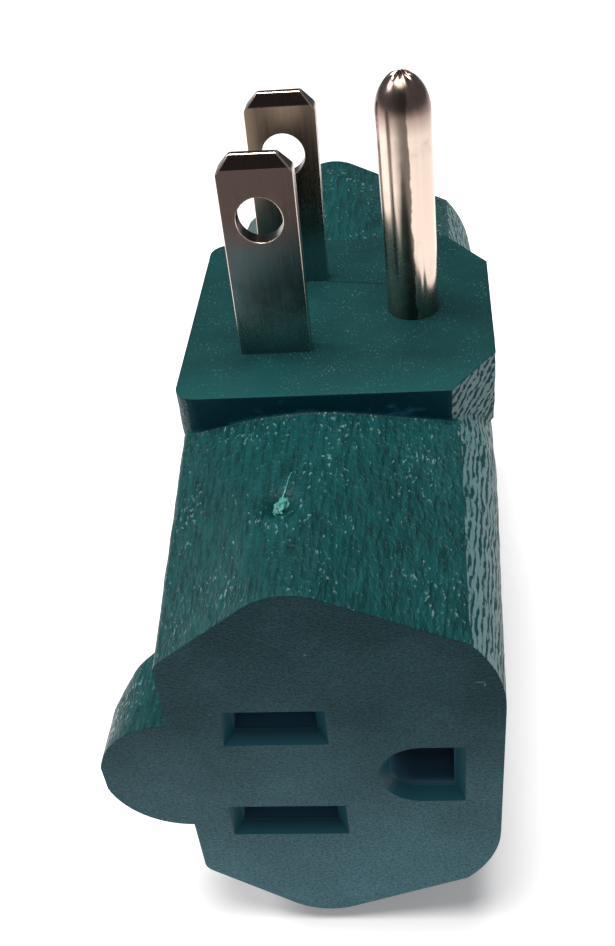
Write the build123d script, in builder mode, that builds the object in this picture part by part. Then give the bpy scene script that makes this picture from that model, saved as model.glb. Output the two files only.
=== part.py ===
from build123d import *

import os

# A grounded wall tap with three outlets, moulded in soft plastic around a hard core.
# It stands on its front outlet, with the plug's prongs up. X runs from the blades to the ground
# pin, Y runs along the two side arms, and Z runs from the front outlet up to the plug.
# The origin is on the front outlet's face, midway between its hot and neutral slots.

# Plug
blade_pitch = 12.7
blade_width = 6.35
blade_thickness = 1.5
blade_reach = 17.9
blade_hole_diameter = 3.9
blade_hole_height = 12.5
blade_corner_width = 1.25
blade_corner_height = 1.4
blade_bevel_depth = 0.45
blade_bevel_height = 1.1
pin_diameter = 4.75
pin_wall = 0.5
pin_reach = 21.1
pin_dome_height = 3.4
pin_offset = 11.9
pin_shank_diameter = 4.4
pin_tab_width = 2.6
pin_tab_thickness = 1.6
prong_gap = 0.1

# Jacket
tap_height = 46.0
arm_reach = 37.0
side_lift = 0.3
arm_left = -8.6
pad_left = -8.8
right_side = 19.1
face_right = 18.7
pad_half_length = 14.0
pad_height = 7.0
pad_left_radius = 1.9
pad_chamfer_width = 4.0
pad_chamfer_length = 5.8
boss_overlap = 1.4
peak_x = 1.8
lobe_reach = 6.7
lobe_half_height = 6.85
lobe_depth = 9.5

# Outline of an outlet's face, and of the arm at its root where it meets the plug's block. The
# peaks stay short of the tap's top and bottom, and the corners drop below the peaks.
face_peak_gap = 1.2
face_left_drop = 8.2
face_shoulder_drop = 6.3
face_side_drop = 9.6
root_peak_gap = 1.9
root_left_drop = 2.5
root_shoulder_drop = 1.9
root_side_drop = 5.2
shoulder_x = 15.8
face_edge_radius = 1.5
face_peak_radius = 5.5
face_side_radius = 11.0
root_edge_radius = 1.0
root_peak_radius = 26.0
root_side_radius = 9.0

# Windows in the jacket, and the slots in the hard carriers behind them
window_depth = 3.6
window_taper = 0.9
window_taper_depth = 1.1
slot_height = 2.4
hot_slot_width = 6.9
neutral_slot_width = 8.6
ground_slot_radius = 2.75

# Carriers, caps and the plug's bridge
carrier_left = -6.6
carrier_right = 17.0
carrier_half_height = 10.2
carrier_chamfer = 1.5
front_wall = 1.6
cap_thickness = 1.5
bridge_left = -6.0
bridge_right = 16.0
bridge_half_length = 9.4
bridge_thickness = 7.5
skin_thickness = 3.2
bridge_chamfer = 1.2

# Contacts and bus strips
sheet = 0.5
contact_width = 5.6
contact_play = 0.3
contact_mouth = 1.75
contact_pinch = 0.9
contact_belly = 1.5
pinch_depth = 3.2
belly_depth = 7.5
tail_width = 1.8
tail_offset = 1.8
tail_root = 2.0
sleeve_play = 0.45
sleeve_end_gap = 3.7
sleeve_slit = 1.2
ground_tail_width = 3.0
strip_room = 14.3
shelf_gap = 4.55
bus_thickness = 0.8
bus_width = 3.8
bus_edge_gap = 0.35
bus_overhang = 2.4
blade_lap = 4.8
blade_lap_width = 5.6
ground_bus_rise = 4.3
ground_bus_width = 5.0
rivet_diameter = 1.6
rivet_head_diameter = 2.8
rivet_head_height = 0.5

# Places worked out from the sizes above
side_z = tap_height / 2 + side_lift
face_peak = side_z - face_peak_gap
root_peak = side_z - root_peak_gap
boss_height = side_z - root_peak + root_side_drop + boss_overlap
slot_y = blade_pitch / 2
pocket_start = window_depth + front_wall
bridge_top = tap_height - skin_thickness
bridge_bottom = bridge_top - bridge_thickness

# Depth from each outlet's face to the back of its cap. The bus strips run behind the caps.
shelf_z = side_z + slot_y - bus_overhang
side_depth = arm_reach - strip_room
front_depth = shelf_z - shelf_gap
ground_bus_top = front_depth + ground_bus_rise + bus_thickness

# Each outlet is drawn in the same way on its own plane: local x towards the ground hole, local y
# towards the hot slot and local z out of the face
outlets = {
    "near": Plane(origin=(0, -arm_reach, side_z), x_dir=(1, 0, 0), z_dir=(0, -1, 0)),
    "far": Plane(origin=(0, arm_reach, side_z), x_dir=(1, 0, 0), z_dir=(0, 1, 0)),
    "front": Plane(origin=(0, 0, 0), x_dir=(1, 0, 0), z_dir=(0, 0, -1)),
}
depths = {"near": side_depth, "far": side_depth, "front": front_depth}
ground_tail_ends = {
    "near": side_depth + bus_thickness,
    "far": side_depth + bus_thickness,
    "front": ground_bus_top,
}


def lengthwise(face, x):
    """Plane through an outlet's depth: local x along the face's y, local y out of the face."""
    return Plane(origin=face.from_local_coords((x, 0, 0)), x_dir=face.y_dir, z_dir=face.x_dir)


def jacket_outline(plane, right, peak, drops, radii):
    """Outline with a rounded peak at top and bottom, a straight left side and a bowed right.
    Drops are for the left corner, the shoulder and the right corner. Radii are for the left
    corner, the peak and the right corner."""
    left_drop, shoulder_drop, side_drop = drops
    upper = [
        (arm_left, peak - left_drop),
        (peak_x, peak),
        (shoulder_x, peak - shoulder_drop),
        (right, peak - side_drop),
    ]
    lower = [(x, -y) for x, y in reversed(upper)]
    with BuildSketch(plane) as outline:
        with BuildLine():
            Polyline(upper + lower, close=True)
        make_face()
        for x, radius in zip((arm_left, peak_x, right), radii):
            fillet([corner for corner in outline.vertices() if abs(corner.X - x) < 0.01], radius)
    return outline.sketch


def face_outline(plane):
    drops = (face_left_drop, face_shoulder_drop, face_side_drop)
    radii = (face_edge_radius, face_peak_radius, face_side_radius)
    return jacket_outline(plane, face_right, face_peak, drops, radii)


def root_outline(plane):
    drops = (root_left_drop, root_shoulder_drop, root_side_drop)
    radii = (root_edge_radius, root_peak_radius, root_side_radius)
    return jacket_outline(plane, right_side, root_peak, drops, radii)


def blade_slot(plane, y, width, height):
    with BuildSketch(plane) as opening:
        with Locations((0, y)):
            Rectangle(width, height)
    return opening.sketch


def ground_hole(plane, radius):
    """Hole with a round side towards the slots and a flat side away from them."""
    with BuildSketch(plane) as opening:
        with Locations((pin_offset, 0)):
            Circle(radius)
            Rectangle(radius, 2 * radius, align=(Align.MIN, Align.CENTER))
    return opening.sketch


def openings(plane, grow):
    """The three openings of an outlet, each grown by the same amount all round."""
    return [
        blade_slot(plane, slot_y, hot_slot_width + 2 * grow, slot_height + 2 * grow),
        blade_slot(plane, -slot_y, neutral_slot_width + 2 * grow, slot_height + 2 * grow),
        ground_hole(plane, ground_slot_radius + grow),
    ]


def carrier_outline(plane):
    with BuildSketch(plane) as outline:
        with Locations(((carrier_left + carrier_right) / 2, 0)):
            Rectangle(carrier_right - carrier_left, 2 * carrier_half_height)
        chamfer(outline.vertices(), carrier_chamfer)
    return outline.sketch


def bridge_outline(plane):
    with BuildSketch(plane) as outline:
        with Locations(((bridge_left + bridge_right) / 2, 0)):
            Rectangle(bridge_right - bridge_left, 2 * bridge_half_length)
        chamfer(outline.vertices(), bridge_chamfer)
    return outline.sketch


def prong_sections(plane, gap):
    """The blades and the pin where they pass through the bridge and the jacket's skin."""
    with BuildSketch(plane) as prongs:
        with Locations((0, slot_y), (0, -slot_y)):
            Rectangle(blade_width + 2 * gap, blade_thickness + 2 * gap)
        with Locations((pin_offset, 0)):
            Circle(pin_shank_diameter / 2 + gap)
    return prongs.sketch


def tail_sections(plane):
    """Where the three contacts' tails pass through a cap and a bus strip."""
    with BuildSketch(plane) as tails:
        with Locations((-tail_offset, slot_y), (tail_offset, -slot_y)):
            Rectangle(tail_width, sheet)
        with Locations((pin_offset, (pin_diameter + sheet) / 2)):
            Rectangle(ground_tail_width, sheet)
    return tails.sketch


def make_lobe(face):
    """Grip lobe on the left of an outlet's face: round from the front, and fading out behind."""
    above = Plane(origin=face.from_local_coords((arm_left, 0, 0)), x_dir=face.x_dir, z_dir=face.y_dir)
    with BuildPart() as lobe:
        with BuildSketch(face):
            with Locations((arm_left, 0)):
                Circle(lobe_half_height)
        extrude(amount=-lobe_depth)
        with BuildSketch(above):
            Ellipse(lobe_reach, lobe_depth)
        extrude(amount=lobe_half_height, both=True, mode=Mode.INTERSECT)
    return lobe.part


def make_carrier(face, depth):
    """Block behind an outlet's face. Depth is from the face to the back of the cap."""
    carrier_back = depth - cap_thickness
    with BuildPart() as carrier:
        extrude(carrier_outline(face.offset(-window_depth)), amount=window_depth - carrier_back)
        for opening in openings(face.offset(-window_depth), 0):
            extrude(opening, amount=-front_wall, mode=Mode.SUBTRACT)
        pocket_width = contact_width + 2 * contact_play
        pocket_height = 2 * (contact_mouth + sheet)
        floor = face.offset(-pocket_start)
        for y in (slot_y, -slot_y):
            extrude(
                blade_slot(floor, y, pocket_width, pocket_height),
                amount=pocket_start - carrier_back,
                mode=Mode.SUBTRACT,
            )
        with BuildSketch(floor):
            with Locations((pin_offset, 0)):
                Circle(pin_diameter / 2 + sheet + sleeve_play)
        extrude(amount=pocket_start - carrier_back, mode=Mode.SUBTRACT)
    return carrier.part


def make_cap(face, depth):
    inside = face.offset(cap_thickness - depth)
    with BuildPart() as cap:
        extrude(carrier_outline(inside), amount=-cap_thickness)
        extrude(tail_sections(inside), amount=-cap_thickness, mode=Mode.SUBTRACT)
    return cap.part


def make_blade_contact(face, depth, side):
    """Spring fork of folded brass that grips a blade. Side is 1 for hot and -1 for neutral."""
    start = pocket_start + contact_play
    base = depth - cap_thickness - sheet / 2
    centre = side * slot_y
    profile = [
        (contact_mouth, -start),
        (contact_pinch, -start - pinch_depth),
        (contact_belly, -start - belly_depth),
        (contact_belly, -base),
    ]
    leaf = [(centre + y, out) for y, out in profile]
    other_leaf = [(centre - y, out) for y, out in reversed(profile)]
    with BuildPart() as contact:
        with BuildSketch(lengthwise(face, 0)):
            with BuildLine():
                Polyline(leaf + other_leaf)
            trace(line_width=sheet)
        extrude(amount=contact_width / 2, both=True)
        with BuildSketch(face.offset(-base)):
            with Locations((-side * tail_offset, centre)):
                Rectangle(tail_width, sheet)
        extrude(amount=base - depth - bus_thickness)
    return contact.part


def make_ground_contact(face, depth, tail_end):
    """Split sleeve that grips the round pin, with a flat tail."""
    inner = pin_diameter / 2
    start = pocket_start + contact_play
    end = depth - cap_thickness - sleeve_end_gap
    with BuildPart() as contact:
        with BuildSketch(face.offset(-start)):
            with Locations((pin_offset, 0)):
                Circle(inner + sheet)
                Circle(inner, mode=Mode.SUBTRACT)
            with Locations((pin_offset, -inner)):
                Rectangle(sleeve_slit, 2 * inner, mode=Mode.SUBTRACT)
        extrude(amount=start - end)
        with BuildSketch(face.offset(tail_root - end)):
            with Locations((pin_offset, inner + sheet / 2)):
                Rectangle(ground_tail_width, sheet)
        extrude(amount=end - tail_root - tail_end)
    return contact.part


def make_blade(side):
    """Blade with a hole, cut corners and a bevelled tip. Side is -1 for hot and 1 for neutral."""
    tip = tap_height + blade_reach
    foot = bridge_bottom - blade_lap
    half = blade_width / 2
    middle = Plane(origin=(0, side * slot_y, 0), x_dir=(1, 0, 0), z_dir=(0, -1, 0))
    edge_on = Plane(origin=(0, side * slot_y, 0), x_dir=(0, 1, 0), z_dir=(1, 0, 0))
    with BuildPart() as blade:
        with BuildSketch(middle):
            with BuildLine():
                Polyline(
                    (-half, foot),
                    (half, foot),
                    (half, tip - blade_corner_height),
                    (half - blade_corner_width, tip),
                    (blade_corner_width - half, tip),
                    (-half, tip - blade_corner_height),
                    close=True,
                )
            make_face()
            with Locations((0, tap_height + blade_hole_height)):
                Circle(blade_hole_diameter / 2, mode=Mode.SUBTRACT)
            with Locations((0, bridge_bottom - blade_lap / 2)):
                Circle(rivet_diameter / 2, mode=Mode.SUBTRACT)
        extrude(amount=blade_thickness / 2, both=True)
        edge = blade_thickness / 2
        with BuildSketch(edge_on):
            with BuildLine():
                Polyline(
                    (-edge, foot),
                    (edge, foot),
                    (edge, tip - blade_bevel_height),
                    (edge - blade_bevel_depth, tip),
                    (blade_bevel_depth - edge, tip),
                    (-edge, tip - blade_bevel_height),
                    close=True,
                )
            make_face()
        extrude(amount=blade_width, both=True, mode=Mode.INTERSECT)
    return blade.part


def make_pin_outside():
    """Round pin with a domed tip, on a thinner shank inside the jacket. A flat tab below the
    shank is staked through the ground strip."""
    radius = pin_diameter / 2
    shank = pin_shank_diameter / 2
    shoulder = tap_height + prong_gap
    tip = tap_height + pin_reach
    spring = tip - pin_dome_height
    across = Plane(origin=(pin_offset, 0, 0), x_dir=(1, 0, 0), z_dir=(0, -1, 0))
    with BuildPart() as outside:
        with BuildSketch(across):
            with BuildLine():
                Polyline(
                    (0, tip),
                    (0, ground_bus_top),
                    (shank, ground_bus_top),
                    (shank, shoulder),
                    (radius, shoulder),
                    (radius, spring),
                )
                Bezier(
                    (radius, spring),
                    (radius, spring + pin_dome_height / 2),
                    (radius / 2, tip),
                    (0, tip),
                )
            make_face()
        revolve(axis=Axis((pin_offset, 0, 0), (0, 0, 1)))
        with BuildSketch(Plane.XY.offset(ground_bus_top)):
            with Locations((pin_offset, 0)):
                Rectangle(pin_tab_width, pin_tab_thickness)
        extrude(amount=-bus_thickness)
    return outside.part


def make_ground_pin():
    bore_foot = ground_bus_top + pin_wall
    bore_top = tap_height + pin_reach - pin_dome_height
    with BuildPart() as pin:
        add(make_pin_outside())
        with BuildSketch(Plane.XY.offset(bore_foot)):
            with Locations((pin_offset, 0)):
                Circle(pin_diameter / 2 - pin_wall)
        extrude(amount=bore_top - bore_foot, mode=Mode.SUBTRACT)
    return pin.part


def make_bridge():
    with BuildPart() as bridge:
        extrude(bridge_outline(Plane.XY.offset(bridge_bottom)), amount=bridge_thickness)
        extrude(
            prong_sections(Plane.XY.offset(bridge_bottom), 0),
            amount=bridge_thickness,
            mode=Mode.SUBTRACT,
        )
    return bridge.part


def make_bus(side):
    """Folded strip that joins a blade to its three contacts. Side is -1 for hot, 1 for neutral."""
    blade_y = slot_y + blade_thickness / 2
    flange_top = side_z + slot_y + bus_overhang
    flange_foot = side_z - slot_y - bus_overhang
    folded = [
        (strip_room, flange_top),
        (strip_room, shelf_z),
        (blade_y + bus_thickness, shelf_z),
        (blade_y + bus_thickness, front_depth),
        (-strip_room, front_depth),
        (-strip_room, flange_foot),
        (bus_thickness - strip_room, flange_foot),
        (bus_thickness - strip_room, front_depth + bus_thickness),
        (blade_y, front_depth + bus_thickness),
        (blade_y, bridge_bottom),
        (blade_y + bus_thickness, bridge_bottom),
        (blade_y + bus_thickness, shelf_z + bus_thickness),
        (strip_room - bus_thickness, shelf_z + bus_thickness),
        (strip_room - bus_thickness, flange_top),
    ]
    strip_x = side * (bus_edge_gap + bus_width / 2)
    lap_x = side * (bus_edge_gap + bus_width - blade_lap_width / 2)
    blade_side = Plane(origin=(0, side * blade_y, 0), x_dir=(-side, 0, 0), z_dir=(0, side, 0))
    with BuildPart() as bus:
        with BuildSketch(Plane.YZ.offset(strip_x)):
            with BuildLine():
                Polyline([(side * y, z) for y, z in folded], close=True)
            make_face()
        extrude(amount=bus_width / 2, both=True)
        with BuildSketch(blade_side):
            with Locations((-side * lap_x, bridge_bottom - blade_lap / 2)):
                Rectangle(blade_lap_width, blade_lap)
        extrude(amount=bus_thickness)
        with BuildSketch(blade_side):
            with Locations((0, bridge_bottom - blade_lap / 2)):
                Circle(rivet_diameter / 2)
        extrude(amount=bus_thickness, mode=Mode.SUBTRACT)
        for name, face in outlets.items():
            tails = tail_sections(face.offset(-depths[name]))
            extrude(tails, amount=-bus_thickness, mode=Mode.SUBTRACT)
    return bus.part


def make_ground_bus():
    """Bracket like a staple: a bridge under the pin, and a leg down each side outlet's cap."""
    foot = side_z - pin_diameter / 2 - sheet - bus_overhang
    half = [
        (strip_room, ground_bus_top),
        (strip_room, foot),
        (strip_room - bus_thickness, foot),
        (strip_room - bus_thickness, ground_bus_top - bus_thickness),
    ]
    other_half = [(-y, z) for y, z in reversed(half)]
    with BuildPart() as bus:
        with BuildSketch(Plane.YZ.offset(pin_offset)):
            with BuildLine():
                Polyline(half + other_half, close=True)
            make_face()
        extrude(amount=ground_bus_width / 2, both=True)
        for name, depth in ground_tail_ends.items():
            tails = tail_sections(outlets[name].offset(bus_thickness - depth))
            extrude(tails, amount=-bus_thickness, mode=Mode.SUBTRACT)
        add(make_pin_outside(), mode=Mode.SUBTRACT)
    return bus.part


def make_rivets():
    """One rivet through each blade and the strip that lies on its outer face. It is flush with
    the blade's inner face, and its head is on the strip."""
    inside = slot_y - blade_thickness / 2
    outside = slot_y + blade_thickness / 2 + bus_thickness
    with BuildPart() as rivets:
        for side in (-1, 1):
            inner_face = Plane(
                origin=(0, side * inside, bridge_bottom - blade_lap / 2),
                x_dir=(1, 0, 0),
                z_dir=(0, side, 0),
            )
            with BuildSketch(inner_face):
                Circle(rivet_diameter / 2)
            extrude(amount=outside - inside)
            with BuildSketch(inner_face.offset(outside - inside)):
                Circle(rivet_head_diameter / 2)
            extrude(amount=rivet_head_height)
    return rivets.part


def make_body(moulded_in):
    """Soft jacket moulded round everything inside it, open only at the outlets' windows."""
    near, far, front = outlets.values()
    with BuildPart() as body:
        for face in (near, far):
            root = face.offset(pad_half_length - arm_reach)
            loft([root_outline(root), face_outline(face)], ruled=True)
        extrude(root_outline(near.offset(pad_half_length - arm_reach)), amount=-2 * pad_half_length)
        extrude(face_outline(front), amount=-boss_height)
        with BuildSketch(Plane.XY.offset(tap_height)) as pad:
            with BuildLine():
                Polyline(
                    (pad_left, pad_half_length),
                    (right_side - pad_chamfer_width, pad_half_length),
                    (right_side, pad_half_length - pad_chamfer_length),
                    (right_side, pad_chamfer_length - pad_half_length),
                    (right_side - pad_chamfer_width, -pad_half_length),
                    (pad_left, -pad_half_length),
                    close=True,
                )
            make_face()
            fillet(pad.vertices().group_by(Axis.X)[0], pad_left_radius)
        extrude(amount=-pad_height)
        for face in outlets.values():
            add(make_lobe(face))
        for name, face in outlets.items():
            mouths = openings(face, window_taper)
            throats = openings(face.offset(-window_taper_depth), 0)
            for mouth, throat in zip(mouths, throats):
                loft([mouth, throat], mode=Mode.SUBTRACT)
                extrude(throat, amount=window_taper_depth - window_depth, mode=Mode.SUBTRACT)
            core = carrier_outline(face.offset(-window_depth))
            extrude(core, amount=window_depth - depths[name], mode=Mode.SUBTRACT)
        extrude(
            bridge_outline(Plane.XY.offset(bridge_bottom)),
            amount=bridge_thickness,
            mode=Mode.SUBTRACT,
        )
        extrude(
            prong_sections(Plane.XY.offset(bridge_top), prong_gap),
            amount=skin_thickness,
            mode=Mode.SUBTRACT,
        )
        for piece in moulded_in:
            add(piece, mode=Mode.SUBTRACT)
    return body.part


metal = {
    "hot_blade": make_blade(-1),
    "neutral_blade": make_blade(1),
    "hot_bus": make_bus(-1),
    "neutral_bus": make_bus(1),
    "ground_bus": make_ground_bus(),
    "blade_rivets": make_rivets(),
}
for name, face in outlets.items():
    metal[name + "_hot_contact"] = make_blade_contact(face, depths[name], 1)
    metal[name + "_neutral_contact"] = make_blade_contact(face, depths[name], -1)
    metal[name + "_ground_contact"] = make_ground_contact(face, depths[name], ground_tail_ends[name])

plastic = {"plug_bridge": make_bridge()}
for name, face in outlets.items():
    plastic[name + "_carrier"] = make_carrier(face, depths[name])
    plastic[name + "_cap"] = make_cap(face, depths[name])

pieces = {
    "body": make_body([*metal.values(), make_pin_outside()]),
    "ground_pin": make_ground_pin(),
    **metal,
    **plastic,
}

os.makedirs("parts", exist_ok=True)
for name, piece in pieces.items():
    piece.label = name
    export_step(piece, f"parts/{name}.step")
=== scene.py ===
import math

import bmesh
import bpy
import numpy as np
from mathutils import Matrix, Vector, noise
from mathutils.bvhtree import BVHTree


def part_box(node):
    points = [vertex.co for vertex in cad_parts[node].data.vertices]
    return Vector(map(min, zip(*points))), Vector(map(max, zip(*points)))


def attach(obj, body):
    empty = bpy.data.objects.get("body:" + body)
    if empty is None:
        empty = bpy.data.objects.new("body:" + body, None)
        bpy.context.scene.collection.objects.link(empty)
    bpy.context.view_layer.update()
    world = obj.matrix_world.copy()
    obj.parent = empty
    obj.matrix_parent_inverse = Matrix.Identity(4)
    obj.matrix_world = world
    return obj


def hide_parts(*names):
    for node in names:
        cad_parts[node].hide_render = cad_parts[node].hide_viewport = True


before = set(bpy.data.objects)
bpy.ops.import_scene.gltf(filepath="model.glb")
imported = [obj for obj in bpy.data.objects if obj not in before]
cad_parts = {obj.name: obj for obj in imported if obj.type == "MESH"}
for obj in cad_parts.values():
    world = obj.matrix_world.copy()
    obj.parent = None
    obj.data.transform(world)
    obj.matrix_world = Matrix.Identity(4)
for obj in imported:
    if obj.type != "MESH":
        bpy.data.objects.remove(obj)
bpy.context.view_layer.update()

MM = 0.001

# Sizes and places are in millimetres, unless a comment says otherwise.

# How the jacket's surfaces are told apart in the CAD mesh
weld_distance = 0.002
plane_margin = 0.02
rim_margin = 0.01
core_margin = 0.04
facing_out = 0.9
window_depth = 3.6
window_margin = 0.1
windows_x = (-5.5, 16.5)
windows_reach = 12
passage_depth = 3.4
passages_x = (-4, 15)
passages_reach = 8
sharp_angle = math.radians(32)

# The grain that is pressed into the jacket's mesh, and the dimple around its gate scar
longest_edge = 0.75
refining_rounds = 7
nearly_flat = 0.03
grain_width = 0.95
grain_length = 1.9
grain_height = 0.05
grain_fade = 0.8
warp_size = 2.4
warp_share = 0.5
fine_grain_scale = 2.1
fine_grain_share = 0.5
dimple_radius = 2.3
dimple_depth = 0.5

# Grooves on the jacket's sides, in which the waver is in radians of a groove's turn
groove_spacing = 0.95
groove_waver = 17.0

# The gate scar, the strand drawn out of it, and the painted shade of the dent beside it
scar_spot = (1.35, -26.3)
scar_size = (0.55, 1.0, 0.45)
scar_turn = math.radians(-12)
strand_radius = 0.09
strand_route = [
    (0.0, 0.7, 0.2),
    (0.2, 1.4, 0.4),
    (0.35, 2.1, 0.55),
    (0.4, 2.9, 0.6),
    (0.6, 3.8, 0.55),
]
dent_shade_shift = -0.4
dent_shade_radii = (0.5, 2.2)

# Small pale marks on the side outlets' faces: x, z, half their width and half their height
end_marks = [
    (16.6, 34.9, 0.5, 0.09),
    (16.95, 34.6, 0.09, 0.3),
    (3.4, 38.3, 0.16, 0.12),
    (-4.9, 31.5, 0.2, 0.08),
]
mark_depth_scale = 10
# Below this height painted light makes the outlets' faces paler towards the floor
painted_light_below = 42.0

# The flow line across the pad, where y is its start plus its slope times x
flow_start = 6.15
flow_slope = -0.17
flow_middle_x = 6.6
# Where painted sheen makes the pad paler towards its near edge
pad_sheen_from = -8.0
pad_sheen_to = -14.0

# The blades' worn edges, and how far they are pushed over and lean
prong_edge = 0.12
tip_edge = 0.2
tip_rounding = 0.42
bevelled_angle = math.radians(30)
tip_foot = 62.8
tip_wear = 0.12
tip_wear_scale = 0.9
tip_wear_reach = 0.3
tip_wear_seed = 7
tip_edge_reach = 0.5
near_blade_shift = -0.4
near_blade_lean = 0.0
far_blade_shift = 0.3
far_blade_lean = 0.35

# The ground pin: its mesh, with a ring of the dome at each of these angles in degrees, its lean,
# its seam, and how the dome was crimped shut
pin_turns = 144
pin_shank_rings = 50
pin_dome_angles = range(3, 89, 2)
pin_lean = -0.45
pin_stretch = 0.3
pin_dome_height = 3.4
pin_dome_bluntness = 0.58
pin_seam_turn = math.radians(-62)
pin_seam_depth = 0.06
pin_seam_width = 0.16
pin_folds = 3.5
pin_fold_share = 0.25
pin_sink = 0.2
pin_dint = 0.4
strip_top = 67.0

# The prongs' drawing marks, and the plastic's refraction
drawing_width = 1 / 4.5
drawing_length = 6.25
plastic_ior = 1.5

# The photograph's camera: the picture's size, the point straight ahead and the focal length in
# pixels, the angles in radians, and where it stood
photo_width = 615
photo_height = 946
photo_centre = (350.3, 602.7)
focal_pixels = 1132.66
camera_azimuth = 0.10083
camera_elevation = 0.76981
camera_roll = -0.09223
camera_place = (13.065, -95.043, 100.245)
nearest_seen = 5
sensor_width = 36.0

# The stage, in metres and watts, with each lamp's name, place, width and power
floor_reach = 2.5
floor_glow = 0.22
sky_strength = 0.18
lamp_target = Vector((0, 0, 0.03))
lamps = [
    ("overhead", (-0.03, -0.03, 0.5), 0.3, 3.5),
    ("window", (-0.27, 0.02, 0.36), 0.16, 0.75),
]


# Where the CAD part's faces and pieces are

def box_of(node):
    return [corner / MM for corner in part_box(node)]


outlets = {
    "near": Vector((0, -1, 0)),
    "far": Vector((0, 1, 0)),
    "front": Vector((0, 0, -1)),
}
body_low, body_high = box_of("body")
faces_at = {"near": -body_low.y, "far": body_high.y, "front": -body_low.z}
pad_top = body_high.z
carrier_low, carrier_high = box_of("near_carrier")
side_z = (carrier_low.z + carrier_high.z) / 2
pin_low, pin_high = box_of("ground_pin")
pin_middle = (pin_low + pin_high) / 2
outer_nodes = ("body", "hot_blade", "neutral_blade")
inner_boxes = [box_of(name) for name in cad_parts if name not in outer_nodes]


# Mesh work

def mesh_of(node):
    """A welded copy of a CAD node's mesh, in millimetres, to build a new piece from."""
    copy = bmesh.new()
    copy.from_mesh(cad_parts[node].data)
    bmesh.ops.scale(copy, vec=(1 / MM,) * 3, verts=copy.verts)
    bmesh.ops.remove_doubles(copy, verts=copy.verts, dist=weld_distance)
    return copy


def piece_from(mesh, name, materials, slot, *nodes):
    """Turns a mesh in millimetres into a smooth-shaded piece that rides on the tap."""
    bmesh.ops.scale(mesh, vec=(MM,) * 3, verts=mesh.verts)
    data = bpy.data.meshes.new(name)
    mesh.to_mesh(data)
    mesh.free()
    for material in materials:
        data.materials.append(material)
    data.shade_smooth()
    data.set_sharp_from_angle(angle=sharp_angle)
    piece = bpy.data.objects.new(name, data)
    bpy.context.scene.collection.objects.link(piece)
    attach(piece, "root")
    if nodes:
        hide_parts(*nodes)
    return piece


def refine(mesh, kinds, longest):
    """Splits the long edges of some kinds of face until none is longer, and evens them out."""
    for _ in range(refining_rounds):
        long_edges = [
            edge
            for edge in mesh.edges
            if edge.calc_length() > longest
            and any(face.material_index in kinds for face in edge.link_faces)
        ]
        if not long_edges:
            break
        bmesh.ops.subdivide_edges(mesh, edges=long_edges, cuts=1)
        bmesh.ops.triangulate(mesh, faces=[face for face in mesh.faces if len(face.verts) > 3])
        faces = [face for face in mesh.faces if face.material_index in kinds]
        inside = [
            edge
            for edge in mesh.edges
            if len(edge.link_faces) == 2
            and edge.calc_face_angle(0) < nearly_flat
            and all(face.material_index in kinds for face in edge.link_faces)
        ]
        bmesh.ops.beautify_fill(mesh, faces=faces, edges=inside, method="ANGLE")


def inside_core(centre):
    """Whether a place is within the box of a piece that the jacket hides."""
    for low, high in inner_boxes:
        if all(low[i] - core_margin < centre[i] < high[i] + core_margin for i in range(3)):
            return True
    return False


def in_passage(face):
    """Whether a face lines a passage that a prong comes out of, just under the pad."""
    centre = face.calc_center_median()
    return (
        centre.z > pad_top - passage_depth
        and abs(face.normal.z) < 0.1
        and passages_x[0] < centre.x < passages_x[1]
        and abs(centre.y) < passages_reach
    )


GRAIN, END, PAD, WINDOW, WALL = range(5)


def surface_kind(face):
    """Which finish a face of the jacket has, from where it is and the way it looks."""
    centre = face.calc_center_median()
    for name, out in outlets.items():
        depth = faces_at[name] - centre.dot(out)
        if depth < plane_margin and face.normal.dot(out) > facing_out:
            return END
        off_middle = abs(centre.y) if name == "front" else abs(centre.z - side_z)
        if (
            depth < window_depth + window_margin
            and windows_x[0] < centre.x < windows_x[1]
            and off_middle < windows_reach
        ):
            return WINDOW
    if centre.z > pad_top - plane_margin:
        return PAD
    if abs(face.normal.y) > facing_out:
        return WALL
    return GRAIN


def outer_skin():
    """The body's outer surface alone, closed over where the prongs go in, with its finishes."""
    mesh = mesh_of("body")
    core = [face for face in mesh.faces if inside_core(face.calc_center_median())]
    bmesh.ops.delete(mesh, geom=core, context="FACES")
    passages = [face for face in mesh.faces if in_passage(face)]
    bmesh.ops.delete(mesh, geom=passages, context="FACES")
    rims = [
        edge
        for edge in mesh.edges
        if edge.is_boundary and all(vert.co.z > pad_top - rim_margin for vert in edge.verts)
    ]
    bmesh.ops.holes_fill(mesh, edges=rims, sides=0)
    bmesh.ops.triangulate(mesh, faces=mesh.faces)
    mesh.normal_update()
    for face in mesh.faces:
        face.material_index = surface_kind(face)
    refine(mesh, (GRAIN, WALL), longest_edge)
    mesh.normal_update()
    return mesh


def smoothstep(start, end, value):
    share = np.clip((value - start) / (end - start), 0, 1)
    return share * share * (3 - 2 * share)


def lattice(points, seed):
    """Smooth, repeatable noise from about -1 to 1 at each of many points."""
    cell_mix = np.array([374761393, 668265263, 2147483647])
    seed_mix = 1274126177
    key_mix = 1103515245
    key_limit = 0x7FFFFFFF
    cell = np.floor(points).astype(np.int64)
    part = points - cell
    weight = part * part * part * (part * (part * 6 - 15) + 10)
    total = np.zeros(len(points))
    for corner in np.ndindex(2, 2, 2):
        offset = np.array(corner)
        key = (cell + offset) @ cell_mix + seed * seed_mix
        key = ((key ^ (key >> 13)) * key_mix) & key_limit
        value = (key ^ (key >> 16)) / (key_limit // 2) - 1
        share = np.prod(np.where(offset == 1, weight, 1 - weight), axis=1)
        total += share * value
    return total


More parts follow.
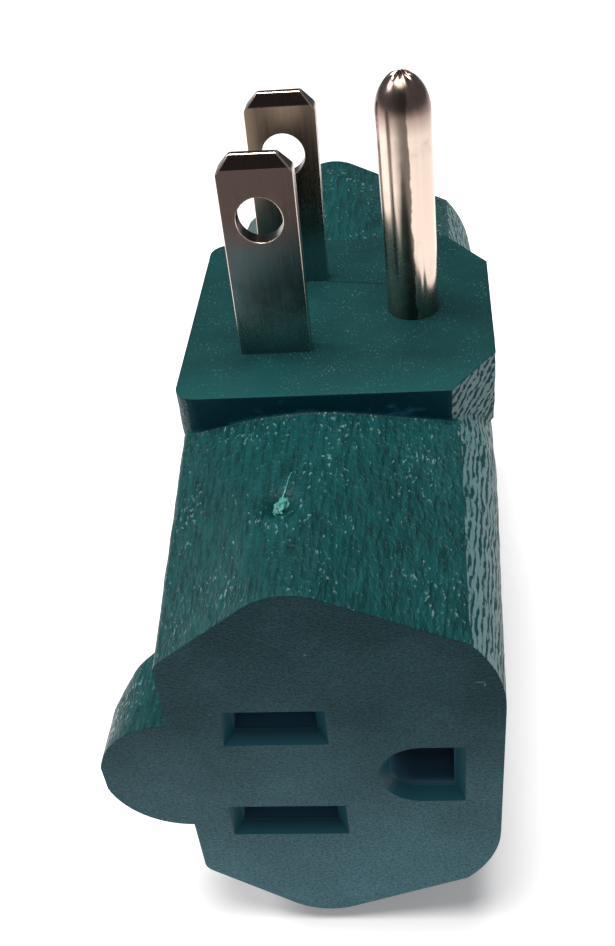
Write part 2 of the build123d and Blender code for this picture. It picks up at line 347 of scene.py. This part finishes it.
def press_grain(mesh):
    """Moves the skin's points along their normals, by the leather grain and the gate's dimple."""
    grained = np.array(
        [all(face.material_index == GRAIN for face in vert.link_faces) for vert in mesh.verts]
    )
    place = np.array([vert.co for vert in mesh.verts])
    normal = np.array([vert.normal for vert in mesh.verts])
    from_end = np.min(
        [faces_at[name] - place @ np.array(out) for name, out in outlets.items()], axis=0
    )
    warp = np.stack([lattice(place / warp_size, seed) for seed in (1, 2, 3)], axis=1)
    cells = place / np.array([grain_width, grain_length, grain_width]) + warp * warp_share
    ripple = lattice(cells, 4) + fine_grain_share * lattice(cells * fine_grain_scale, 5)
    weight = grained * smoothstep(0, grain_fade, from_end)
    height = grain_height * weight * ripple
    from_scar = np.hypot(place[:, 0] - scar_spot[0], place[:, 1] - scar_spot[1])
    on_top = (normal[:, 2] > 0.3) & (place[:, 2] > side_z)
    height -= on_top * dimple_depth * (1 - smoothstep(0, dimple_radius, from_scar))
    for vert, shift in zip(mesh.verts, normal * height[:, None]):
        vert.co += Vector(shift)


def make_jacket(materials):
    """The jacket as its grained outer skin, with its plain faces shaded flat."""
    mesh = outer_skin()
    press_grain(mesh)
    piece = piece_from(mesh, "jacket", materials, "jacket", "body")
    for polygon in piece.data.polygons:
        if polygon.material_index in (END, PAD, WINDOW):
            polygon.use_smooth = False
    even = piece.modifiers.new("even_normals", "WEIGHTED_NORMAL")
    even.mode = "FACE_AREA"
    even.keep_sharp = True
    return piece


def bevel_width(edge):
    """How far an edge of a blade is worn round, which is most across the thickness of its tip."""
    if not all(vert.co.z > tip_foot - tip_edge_reach for vert in edge.verts):
        return prong_edge
    direction = (edge.verts[0].co - edge.verts[1].co).normalized()
    through_thickness = abs(direction.y) > 0.9
    return tip_rounding if through_thickness else tip_edge


def make_blade(node, name, shift, lean, materials):
    """A blade with worn bright edges, pushed over and leaning as the photographed one does."""
    noise.seed_set(tip_wear_seed)  # noise_vector is random from run to run without a seed
    mesh = mesh_of(node)
    bmesh.ops.dissolve_limit(mesh, angle_limit=0.01, verts=mesh.verts, edges=mesh.edges)
    top = max(vert.co.z for vert in mesh.verts)
    for vert in mesh.verts:
        rise = max(0, vert.co.z - pad_top) / (top - pad_top)
        vert.co.x += shift + lean * rise
        if vert.co.z > tip_foot - tip_wear_reach:
            worn = noise.noise_vector(vert.co * tip_wear_scale)
            vert.co.x += tip_wear * worn.x
            vert.co.z += 0.5 * tip_wear * worn.z
    weights = mesh.edges.layers.float.new("bevel_weight_edge")
    for edge in mesh.edges:
        if edge.calc_face_angle(0) > bevelled_angle:
            edge[weights] = bevel_width(edge) / tip_rounding
    piece = piece_from(mesh, name, materials, "prong", node)
    bevel = piece.modifiers.new("eased_edges", "BEVEL")
    bevel.width = tip_rounding * MM
    bevel.segments = 3
    bevel.limit_method = "WEIGHT"
    bevel.material = 1
    bevel.harden_normals = True


def make_pin(material):
    """The rolled ground pin: a tube with a seam, and a tall dome that was crimped shut.

    A ring's rise is 0 down the shank and goes to 1 at the top of the dome.
    """
    radius = (pin_high.x - pin_low.x) / 2
    tip = pin_high.z + pin_stretch
    spring = tip - pin_dome_height
    levels = [(z, 0.0) for z in np.linspace(pad_top - 1, spring, pin_shank_rings)]
    for dome_angle in pin_dome_angles:
        rise = math.sin(math.radians(dome_angle))
        levels.append((spring + pin_dome_height * rise, rise))
    mesh = bmesh.new()
    rings = []
    for level, rise in levels:
        ring = []
        for step in range(pin_turns):
            angle = 2 * math.pi * step / pin_turns
            from_seam = (angle - pin_seam_turn + math.pi) % (2 * math.pi) - math.pi
            seam = math.exp(-((from_seam * radius / pin_seam_width) ** 2))
            fold = math.sin(pin_folds * angle + 0.6 * math.sin(2 * angle) + 2.2 * rise)
            around = Vector((2.5 * math.cos(angle), 2.5 * math.sin(angle), 4 * rise))
            sink = rise ** 6 * (pin_sink + pin_dint * noise.noise(around))
            crimp = pin_fold_share * rise ** 9 * abs(fold)
            round_reach = radius * (1 - rise * rise) ** pin_dome_bluntness
            reach = round_reach * (1 - crimp) - pin_seam_depth * seam * (1 - rise)
            z = level - sink
            lean = pin_lean * max(0, z - pad_top) / (tip - pad_top)
            x = pin_middle.x + reach * math.cos(angle) + lean
            ring.append(mesh.verts.new((x, pin_middle.y + reach * math.sin(angle), z)))
        rings.append(ring)
    for lower, upper in zip(rings, rings[1:]):
        for step in range(pin_turns):
            following = (step + 1) % pin_turns
            mesh.faces.new((lower[step], lower[following], upper[following], upper[step]))
    mesh.faces.new(rings[-1])
    mesh.faces.new(list(reversed(rings[0])))
    mesh.normal_update()
    piece_from(mesh, "formed_ground_pin", [material], "prong", "ground_pin")


def scar_place(jacket):
    """Where the gate scar sits on the jacket's finished surface."""
    surface = BVHTree.FromObject(jacket, bpy.context.evaluated_depsgraph_get())
    above = Vector((*scar_spot, pad_top + 10)) * MM
    return surface.ray_cast(above, Vector((0, 0, -1)))[0] / MM


def make_scar(spot, material):
    """The torn stub of plastic that was left where the mould was filled."""
    mesh = bmesh.new()
    bmesh.ops.create_icosphere(mesh, subdivisions=4, radius=1)
    for vert in mesh.verts:
        bump = 0.35 * noise.noise(vert.co * 1.9) + 0.22 * noise.noise(vert.co * 4.3)
        tuft = max(0, vert.co.y) ** 3 * 0.5
        vert.co *= 1 + bump
        vert.co.x *= 1 - 0.5 * tuft
        vert.co.y += tuft
        vert.co = [part * size for part, size in zip(vert.co, scar_size)]
    turn = Matrix.Rotation(scar_turn, 4, "Z")
    bmesh.ops.transform(mesh, matrix=Matrix.Translation(spot) @ turn, verts=mesh.verts)
    piece_from(mesh, "gate_scar", [material], "jacket")


def make_strand(spot, material):
    """The strand of plastic that was drawn out of the gate scar, thinner towards its end."""
    data = bpy.data.curves.new("gate_strand", "CURVE")
    data.dimensions = "3D"
    data.bevel_depth = strand_radius * MM
    data.bevel_resolution = 3
    spline = data.splines.new("NURBS")
    spline.points.add(len(strand_route) - 1)
    for point, offset in zip(spline.points, strand_route):
        point.co = ((spot + Vector(offset)) * MM).to_4d()
        point.radius = 1.3 - 0.2 * offset[1]
    spline.order_u = 3
    spline.use_endpoint_u = True
    data.materials.append(material)
    piece = bpy.data.objects.new("gate_strand", data)
    bpy.context.scene.collection.objects.link(piece)
    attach(piece, "root")


# Materials

class Shader:
    """A material's nodes, with a short method for each kind that is used here."""

    def __init__(self, name):
        self.material = bpy.data.materials.new(name)
        self.material.use_nodes = True
        self.tree = self.material.node_tree
        self.surface = self.tree.nodes["Principled BSDF"]
        coordinates = self.tree.nodes.new("ShaderNodeTexCoord").outputs
        self.place = coordinates["Object"]
        self.facing = coordinates["Normal"]

    def node(self, kind, settings=(), **inputs):
        made = self.tree.nodes.new("ShaderNode" + kind)
        for key, value in dict(settings).items():
            setattr(made, key, value)
        for key, value in inputs.items():
            self.feed(made.inputs[key.replace("_", " ")], value)
        return made

    def feed(self, socket, value):
        if isinstance(value, bpy.types.NodeSocket):
            self.tree.links.new(value, socket)
        else:
            socket.default_value = value

    def set(self, **inputs):
        for key, value in inputs.items():
            self.feed(self.surface.inputs[key.replace("_", " ")], value)

    def fed_to(self, name):
        """What already feeds one of the surface's inputs."""
        return self.surface.inputs[name].links[0].from_socket

    def axis(self, name):
        """How far a point is along an axis, in millimetres."""
        parts = self.node("SeparateXYZ", Vector=self.place).outputs
        return self.math("DIVIDE", parts[name], MM)

    def noise(self, across, along, detail=2.0, roughness=0.5, distortion=0.0, up=None):
        """Noise whose features have these sizes along X, Y and Z. Up is the size across if it
        isn't given."""
        sizes = (across, along, up or across)
        scale = [1 / (size * MM) for size in sizes]
        return self.node(
            "TexNoise",
            Vector=self.node("Mapping", Vector=self.place, Scale=scale).outputs["Vector"],
            Scale=1.0,
            Detail=detail,
            Roughness=roughness,
            Distortion=distortion,
        ).outputs["Fac"]

    def math(self, operation, *values):
        made = self.node("Math", {"operation": operation})
        for socket, value in zip(made.inputs, values):
            self.feed(socket, value)
        return made.outputs[0]

    def add(self, first, second):
        return self.math("ADD", first, second)

    def minus(self, first, second):
        return self.math("SUBTRACT", first, second)

    def times(self, first, second):
        return self.math("MULTIPLY", first, second)

    def spread(self, value, low_from, high_from, low_to, high_to, kind="LINEAR"):
        """Maps one range of values onto another, and stops at its ends."""
        made = self.node("MapRange", {"interpolation_type": kind})
        for socket, number in zip(made.inputs, (value, low_from, high_from, low_to, high_to)):
            self.feed(socket, number)
        return made.outputs["Result"]

    def ease(self, value, start, end):
        """Goes smoothly from 0 at the start to 1 at the end."""
        return self.spread(value, start, end, 0.0, 1.0, "SMOOTHSTEP")

    def drift(self, across, along, detail=2.0, low=0.0, high=1.0):
        """Noise of a given size that wanders over the whole range from low to high."""
        return self.spread(self.noise(across, along, detail), 0.3, 0.7, low, high)

    def blend(self, share, first, second, kind="MIX"):
        made = self.node("Mix", {"data_type": "RGBA", "blend_type": kind})
        for index, value in zip((0, 6, 7), (share, first, second)):
            self.feed(made.inputs[index], value)
        return made.outputs[2]

    def mix(self, share, first, second):
        """Like blend, for numbers."""
        made = self.node("Mix")
        for index, value in zip((0, 2, 3), (share, first, second)):
            self.feed(made.inputs[index], value)
        return made.outputs[0]

    def bump(self, height, depth, under=None):
        made = self.node("Bump", Strength=1.0, Distance=depth * MM, Height=height)
        if under is not None:
            self.feed(made.inputs["Normal"], under)
        return made.outputs["Normal"]

    def rounded(self, radius):
        """The surface's normal with its edges eased by a radius."""
        return self.node("Bevel", {"samples": 4}, Radius=radius * MM).outputs["Normal"]


class Tone:
    """Shades of the jacket's plastic, and of the light and shade painted on it."""
    green = (0.002, 0.037, 0.037, 1)
    deep = (0.001, 0.023, 0.024, 1)
    wall_shade = (0.0025, 0.034, 0.05, 1)
    wall_shade_dark = (0.0015, 0.026, 0.038, 1)
    pale = (0.006, 0.07, 0.07, 1)
    slate = (0.0005, 0.027, 0.032, 1)
    slate_lit = (0.054, 0.142, 0.17, 1)
    inlet = (0.006, 0.045, 0.06, 1)
    inlet_lit = (0.07, 0.16, 0.23, 1)
    pit = (0.001, 0.01, 0.013, 1)
    groove = (0.003, 0.04, 0.042, 1)
    dark_streak_and_dent_shade = (0.0004, 0.014, 0.014, 1)
    # Pale for painted glints and reflections, and for the pale marks on the outlets' faces
    pale_sheen_and_mark = (0.085, 0.17, 0.175, 1)
    torn = (0.012, 0.09, 0.08, 1)
    torn_pale = (0.06, 0.26, 0.23, 1)


class Plate:
    """Shades of the prongs' nickel plate and of its stains, and of the reflections painted on it.
    """
    brown = (0.062, 0.044, 0.038, 1)
    olive = (0.2, 0.15, 0.11, 1)
    mirror = (0.22, 0.33, 0.32, 1)
    cream = (0.68, 0.55, 0.46, 1)
    sand = (0.3, 0.27, 0.22, 1)
    bronze = (0.052, 0.085, 0.088, 1)
    dusk = (0.06, 0.045, 0.04, 1)
    dome_reflection = (0.3, 0.21, 0.18, 1)
    stain = (0.14, 0.1, 0.085, 1)
    front_reflection = (0.1, 0.08, 0.062, 1)


def grain_material():
    """Leather grain: streaks and small beads with painted glints on top, long dark grooves
    between ridges painted pale as a reflection on the sides, and painted shade in the dent by the
    gate scar.
    """
    shader = Shader("jacket_grain")
    x, y, z = [shader.axis(name) for name in "XYZ"]
    facing = shader.node("SeparateXYZ", Vector=shader.facing).outputs["X"]
    right = shader.ease(facing, 0.45, 0.8)
    left = shader.ease(facing, -0.85, -0.97)
    side = shader.math("MAXIMUM", right, left)

    # Streaks along the arm, and beads that glint in clusters
    streak = shader.noise(0.32, 2.8, distortion=0.3)
    bead = shader.noise(0.3, 0.6, distortion=0.3)
    clusters = shader.spread(shader.noise(4, 6), 0.35, 0.7, -0.07, 0.055)
    glint = shader.ease(shader.add(bead, clusters), 0.63, 0.73)
    top_height = shader.add(shader.times(streak, 0.5), shader.ease(bead, 0.35, 0.75))

    # Painted shade in the dent beside the gate scar
    from_dent_x = shader.minus(x, scar_spot[0] + dent_shade_shift)
    from_dent_y = shader.minus(y, scar_spot[1])
    square_x = shader.times(from_dent_x, from_dent_x)
    square_y = shader.times(from_dent_y, from_dent_y)
    from_dent = shader.math("SQRT", shader.add(square_x, square_y))
    dark_streak_and_dent_shade = shader.spread(from_dent, *dent_shade_radii, 0.8, 0.0, "SMOOTHSTEP")

    # Wavering rows of ridges, broken here and there
    turns = shader.times(shader.minus(x, z), 2 * math.pi / groove_spacing)
    waver = shader.times(shader.noise(1.6, 3.0, detail=4, roughness=0.6), groove_waver)
    rows = shader.math("SINE", shader.add(turns, waver))
    breaks = shader.drift(0.45, 1.3, low=-1.25, high=1.25)
    ridge = shader.ease(shader.add(rows, breaks), -0.85, 0.15)

    top_tone = shader.blend(shader.drift(5, 8, detail=3), Tone.deep, Tone.green)
    top_tone = shader.blend(shader.spread(streak, 0.4, 0.75, 0.0, 0.5), top_tone, Tone.pale)
    # The dark streaks take the same dark tone as the dent's painted shade
    top_tone = shader.blend(shader.spread(streak, 0.45, 0.32, 0.0, 0.6), top_tone, Tone.dark_streak_and_dent_shade)
    # Painted highlights: the beads' glints are also painted pale into the colour
    top_tone = shader.blend(shader.times(glint, 0.85), top_tone, Tone.pale_sheen_and_mark)
    # Painted shade darkens the dent beside the gate scar
    top_tone = shader.blend(dark_streak_and_dent_shade, top_tone, Tone.dark_streak_and_dent_shade)
    # Painted reflection: the ridges on the sides are painted pale
    side_sheen_tone = shader.blend(ridge, Tone.groove, Tone.pale_sheen_and_mark)
    top_roughness = shader.spread(glint, 0.0, 1.0, 0.42, 0.26)
    top_shine = shader.spread(dark_streak_and_dent_shade, 0.0, 0.8, 0.14, 0.03)
    side_shine = shader.spread(ridge, 0.0, 1.0, 0.02, 0.18)
    shine = shader.add(shader.mix(side, top_shine, side_shine), shader.times(glint, 0.5))
    shader.set(
        Base_Color=shader.blend(side, top_tone, side_sheen_tone),
        Roughness=shader.mix(side, top_roughness, 0.5),
        IOR=plastic_ior,
        Specular_IOR_Level=shine,
        Normal=shader.bump(shader.mix(side, top_height, ridge), 0.06, shader.rounded(0.3)),
    )
    return shader.material


def matte_shader(name, texture, roughness, shine, rounding):
    """Evenly matte plastic that has no colour yet, with its edges eased if rounding isn't 0.

    Texture is how deep its grit is.
    """
    shader = Shader(name)
    grit = shader.noise(0.21, 0.23, detail=3, roughness=0.65)
    under = shader.rounded(rounding) if rounding else None
    shader.set(Normal=shader.bump(grit, texture, under))
    shader.set(Roughness=roughness, IOR=plastic_ior, Specular_IOR_Level=shine)
    return shader


def end_material():
    """The outlets' faces: pebbled, with painted light that makes them paler away from the plug,
    with a few pale marks.
    """
    shader = matte_shader("jacket_end", texture=0.2, roughness=0.5, shine=0.09, rounding=0.15)
    # Painted light from the floor: the faces get paler towards the bottom
    lowness = shader.spread(shader.axis("Z"), painted_light_below, 0.0, 0.0, 1.0)
    cloud = shader.drift(7, 7, detail=4, low=-0.12, high=0.12)
    painted_light_and_cloud = shader.add(shader.math("POWER", lowness, 1.35), cloud)
    tone = shader.blend(painted_light_and_cloud, Tone.slate, Tone.slate_lit)
    pebble = shader.noise(0.24, 0.24, detail=3, roughness=0.6)
    tone = shader.blend(1.0, tone, shader.spread(pebble, 0.34, 0.66, 0.6, 1.4), "MULTIPLY")
    for x, z, half_width, half_height in end_marks:
        spot = shader.node(
            "Mapping",
            Vector=shader.place,
            Location=(-x / half_width, 0, -z / half_height),
            Scale=(1 / (half_width * MM), mark_depth_scale, 1 / (half_height * MM)),
        )
        away = shader.node("VectorMath", {"operation": "LENGTH"}, Vector=spot.outputs["Vector"])
        share = shader.spread(away.outputs["Value"], 0.6, 1.0, 0.7, 0.0)
        tone = shader.blend(share, tone, Tone.pale_sheen_and_mark)
    shader.set(Base_Color=tone)
    return shader.material


def pad_material():
    """The plug's face: speckled with painted glints, with painted sheen that makes it paler
    towards its near edge, and with a flow line by the pin.
    """
    shader = matte_shader("jacket_pad", texture=0.09, roughness=0.5, shine=0.13, rounding=0.3)
    x, y = shader.axis("X"), shader.axis("Y")
    clusters = shader.spread(shader.noise(2.2, 2.2, detail=3), 0.4, 0.65, 0.0, 0.45)
    painted_glints = shader.spread(shader.noise(0.2, 0.36, detail=1), 0.6, 0.72, 0.0, clusters)
    painted_sheen = shader.spread(y, pad_sheen_from, pad_sheen_to, 0.0, 0.4)
    wobble = shader.times(shader.minus(shader.noise(3, 3), 0.5), 0.5)
    flow_y = shader.add(shader.math("MULTIPLY_ADD", x, flow_slope, flow_start), wobble)
    off_line = shader.math("ABSOLUTE", shader.minus(y, flow_y))
    from_middle = shader.math("ABSOLUTE", shader.minus(x, flow_middle_x))
    on_line = shader.spread(off_line, 0.05, 0.22, 1.0, 0.0)
    on_line = shader.times(on_line, shader.spread(from_middle, 2.2, 3.4, 1.0, 0.0))
    tone = shader.blend(shader.drift(7, 7, detail=4), Tone.green, Tone.deep)
    # Painted glints: pale dots in clusters
    tone = shader.blend(painted_glints, tone, Tone.pale_sheen_and_mark)
    # Painted sheen: the pad is paler towards its near edge
    tone = shader.blend(painted_sheen, tone, Tone.pale)
    tone = shader.blend(shader.times(on_line, 0.8), tone, Tone.pit)
    groove = shader.bump(shader.times(on_line, -1.0), 0.03, shader.fed_to("Normal"))
    shader.set(Base_Color=tone, Normal=groove)
    return shader.material


def window_material():
    """The windows' smooth walls, with painted light that makes them paler deep inside the side
    outlets.
    """
    shader = matte_shader("jacket_window", texture=0.003, roughness=0.3, shine=0.16, rounding=0)
    depth = shader.minus(faces_at["near"], shader.math("ABSOLUTE", shader.axis("Y")))
    # Painted light: the walls get paler deep inside the side outlets
    deep = shader.spread(depth, 1.0, 1.3, 0.0, 1.0)
    shader.set(Base_Color=shader.blend(deep, Tone.inlet, Tone.inlet_lit))
    return shader.material


def wall_material():
    """The jacket's walls that look along the arms, with painted shade that makes them dark navy.
    """
    shader = matte_shader("jacket_wall", texture=0.08, roughness=0.5, shine=0.04, rounding=0.3)
    cloud = shader.drift(7, 7, detail=4)
    # Painted shade: the walls are given a dark navy tone
    shader.set(Base_Color=shader.blend(cloud, Tone.wall_shade_dark, Tone.wall_shade))
    return shader.material


def nickel(name, stops, roughness, tip=None):
    """Plate with drawing marks and stains, whose tone changes up the prong as a painted
    reflection.

    Each stop is a height and a tone. A tip is the height where it starts, how far its change
    takes, and its tone.
    """
    shader = Shader(name)
    height = shader.axis("Z")
    marks = shader.noise(drawing_width, drawing_width, detail=3, up=drawing_length)
    patches = shader.noise(2.6, 2.6, detail=5, roughness=0.62)
    stirred_height = shader.add(height, shader.spread(patches, 0.2, 0.8, -1.5, 1.5))
    rough = shader.spread(marks, 0.3, 0.7, roughness, roughness + 0.07)
    tone = stops[0][1]
    for (start, _), (end, next_tone) in zip(stops, stops[1:]):
        tone = shader.blend(shader.ease(stirred_height, start, end), tone, next_tone)
    if tip:
        foot, change, tip_tone = tip
        tone = shader.blend(shader.spread(height, foot, foot + change, 0.0, 1.0), tone, tip_tone)
        rough = shader.add(rough, shader.spread(height, foot, foot + change, 0.0, 0.05))
    stain = shader.spread(patches, 0.55, 0.8, 0.0, 0.4)
    shader.set(Base_Color=shader.blend(stain, tone, Plate.stain), Metallic=1.0)
    shader.set(Roughness=rough, Normal=shader.bump(marks, 0.001))
    return shader


def pin_material():
    """Nickel with a painted dark reflection as a strip down the pin's front, sharp on its right
    side only.
    """
    # Painted reflection: the pin is darker towards its foot
    stops = [(45, Plate.sand), (50, Plate.cream)]
    # Painted reflection: the dome is given a dark tone
    shader = nickel("pin_nickel", stops, 0.15, (62.6, 1.8, Plate.dome_reflection))
    x, y, z = [shader.axis(name) for name in "XYZ"]
    leaning = shader.spread(z, pad_top, strip_top, 0.0, pin_lean)
    wobble = shader.drift(1.5, 1.5, detail=3, low=-0.12, high=0.12)
    across = shader.add(shader.minus(shader.minus(x, pin_middle.x), leaning), wobble)
    rise = shader.ease(across, -1.3, 0.0)
    fall = shader.spread(across, 0.3, 0.42, 1.0, 0.0)
    front = shader.spread(y, -0.5, -1.2, 0.0, 1.0)
    # Painted reflection: a dark strip down the pin's front
    share = shader.times(shader.times(shader.times(rise, fall), front), 0.93)
    shader.set(Base_Color=shader.blend(share, shader.fed_to("Base Color"), Plate.front_reflection))
    return shader.material


def mottled_material(name, dark, light, patch, grit, texture, **finish):
    """An inner piece's material: patches of two tones over a fine grit."""
    shader = Shader(name)
    shader.set(Base_Color=shader.blend(shader.drift(patch, patch, detail=4), dark, light))
    shader.set(Normal=shader.bump(shader.noise(grit, grit), texture), **finish)
    return shader.material


def scar_material():
    """The gate scar's torn plastic, paler than the jacket."""
    shader = Shader("torn_plastic")
    shade = shader.spread(shader.noise(0.4, 0.6, detail=4), 0.35, 0.65, 0.0, 1.0)
    shader.set(Base_Color=shader.blend(shade, Tone.torn, Tone.torn_pale))
    shader.set(Roughness=0.4, Normal=shader.bump(shader.noise(0.15, 0.2, detail=3), 0.05))
    return shader.material


def dress_inner_pieces():
    """Gives the CAD nodes that stay in the scene their plastic or brass."""
    plastic = mottled_material(
        "core_plastic",
        dark=(0.06, 0.1, 0.17, 1),
        light=(0.07, 0.13, 0.2, 1),
        patch=1.2,
        grit=0.2,
        texture=0.01,
        Roughness=0.5,
    )
    brass = mottled_material(
        "spring_brass",
        dark=(0.55, 0.36, 0.13, 1),
        light=(0.72, 0.52, 0.24, 1),
        patch=1.5,
        grit=0.3,
        texture=0.004,
        Metallic=1.0,
        Roughness=0.3,
    )
    for name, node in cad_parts.items():
        if not node.hide_render:
            node.data.materials.clear()
            is_plastic = name.endswith(("carrier", "cap", "bridge"))
            node.data.materials.append(plastic if is_plastic else brass)


# Floor, light and camera

def make_floor():
    mesh = bmesh.new()
    bmesh.ops.create_grid(mesh, x_segments=8, y_segments=8, size=floor_reach)
    data = bpy.data.meshes.new("floor")
    mesh.to_mesh(data)
    mesh.free()
    shader = Shader("pale_floor")
    cloud = shader.drift(40, 40, detail=3)
    tone = shader.blend(cloud, (0.86, 0.84, 0.84, 1), (0.9, 0.88, 0.88, 1))
    shader.set(Base_Color=tone, Roughness=0.9)
    shader.set(Emission_Color=(1.0, 0.98, 0.99, 1), Emission_Strength=floor_glow)
    data.materials.append(shader.material)
    floor = bpy.data.objects.new("floor", data)
    bpy.context.scene.collection.objects.link(floor)


def make_light(name, place, width, power):
    data = bpy.data.lights.new(name, "AREA")
    data.shape = "DISK"
    data.size = width
    data.energy = power
    lamp = bpy.data.objects.new(name, data)
    lamp.location = place
    lamp.rotation_euler = (lamp_target - lamp.location).to_track_quat("-Z", "Y").to_euler()
    bpy.context.scene.collection.objects.link(lamp)


def make_world():
    world = bpy.data.worlds.new("studio")
    world.use_nodes = True
    bpy.context.scene.world = world
    sky = world.node_tree.nodes["Background"].inputs
    sky["Color"].default_value = (0.92, 0.96, 1.0, 1)
    sky["Strength"].default_value = sky_strength


def make_camera():
    """The camera as fitted to the photograph, shifted as the picture's crop asks."""
    data = bpy.data.cameras.new("camera")
    data.sensor_fit = "HORIZONTAL"
    data.sensor_width = sensor_width
    data.lens = focal_pixels * sensor_width / photo_width
    data.shift_x = (photo_width / 2 - photo_centre[0]) / photo_width
    data.shift_y = (photo_centre[1] - photo_height / 2) / photo_width
    data.clip_start = nearest_seen * MM
    camera = bpy.data.objects.new("camera", data)
    flat = math.cos(camera_elevation)
    back_x = math.sin(camera_azimuth) * flat
    back_y = -math.cos(camera_azimuth) * flat
    back = Vector((back_x, back_y, math.sin(camera_elevation)))
    right = (-back).cross(Vector((0, 0, 1))).normalized()
    up = back.cross(right)
    tilt = Matrix.Rotation(camera_roll, 3, back)
    turn = Matrix((tilt @ right, tilt @ up, back)).transposed()
    camera.matrix_world = Matrix.Translation(Vector(camera_place) * MM) @ turn.to_4x4()
    bpy.context.scene.collection.objects.link(camera)
    bpy.context.scene.camera = camera


# In the order of GRAIN, END, PAD, WINDOW and WALL
jacket_finishes = [
    grain_material(),
    end_material(),
    pad_material(),
    window_material(),
    wall_material(),
]
jacket = make_jacket(jacket_finishes)

worn_edge = nickel("worn_edge", [(0, Plate.cream)], 0.2).material
# Painted reflections: each blade's tone changes up its height with what it reflects
near_reflection_stops = [(46.5, Plate.mirror), (53, Plate.bronze), (59.5, Plate.brown)]
far_reflection_stops = [(48, Plate.mirror), (57, Plate.olive)]
blade_tip = (tip_foot, 0.1, Plate.dusk)
near_nickel = nickel("near_blade_nickel", near_reflection_stops, 0.2, blade_tip).material
far_nickel = nickel("far_blade_nickel", far_reflection_stops, 0.2, blade_tip).material
near_finishes = [near_nickel, worn_edge]
far_finishes = [far_nickel, worn_edge]
make_blade("hot_blade", "hot_blade_worn", near_blade_shift, near_blade_lean, near_finishes)
make_blade("neutral_blade", "neutral_blade_worn", far_blade_shift, far_blade_lean, far_finishes)
make_pin(pin_material())

torn_plastic = scar_material()
scar_centre = scar_place(jacket)
make_scar(scar_centre, torn_plastic)
make_strand(scar_centre, torn_plastic)
dress_inner_pieces()

make_floor()
make_world()
for name, place, width, power in lamps:
    make_light(name, place, width, power)
make_camera()
bpy.context.scene.view_settings.view_transform = "Standard"
